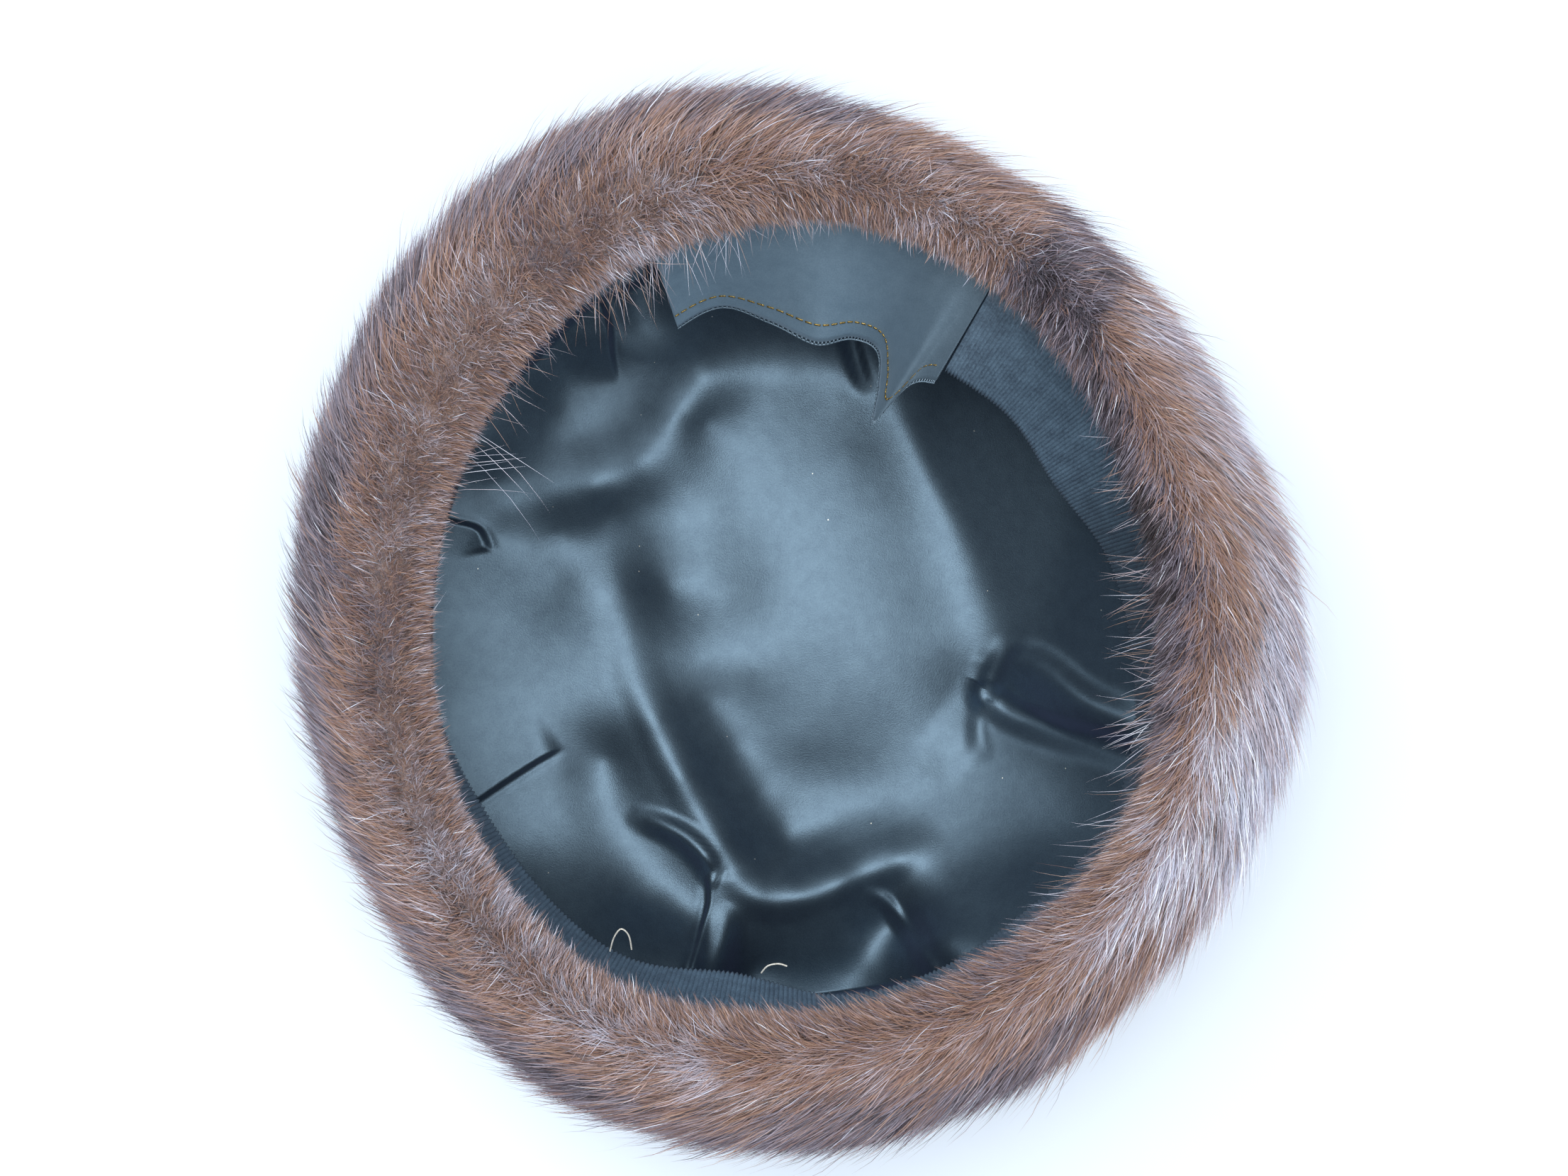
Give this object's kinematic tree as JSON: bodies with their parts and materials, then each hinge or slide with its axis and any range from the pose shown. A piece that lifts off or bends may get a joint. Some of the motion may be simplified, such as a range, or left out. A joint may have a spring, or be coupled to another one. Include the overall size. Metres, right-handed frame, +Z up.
{
  "type": "fur hat",
  "caption": "Round fur hat lying upside down on its crown, with a loose satin lining, a ribbed head-size ribbon and a satin label inside.",
  "frame": {"origin": "on the floor under the middle of the hat, which lies on its crown with the head opening up", "axes": "+Z up out of the head opening, +Y to the back of the hat where the label is, +X to the side that is the wearer's right"},
  "size_m": [0.2478, 0.2598, 0.1148],
  "materials": {
    "rim_fur": "short, dense brown fur",
    "side_fur": "glossy brown fur with long guard hairs",
    "crown_fur": "glossy brown fur pressed flat",
    "lining_satin": "dark blue-green satin",
    "ribbon_grosgrain": "matt ribbed ribbon",
    "label_satin": "satin ribbon with a picot edge"
  },
  "bodies": {
    "root": {"fur_rim_strip": "rim_fur", "fur_side_band": "side_fur", "fur_crown_tip": "crown_fur", "lining": "lining_satin", "grosgrain_ribbon": "ribbon_grosgrain", "label": "label_satin"}
  },
  "joints": []
}
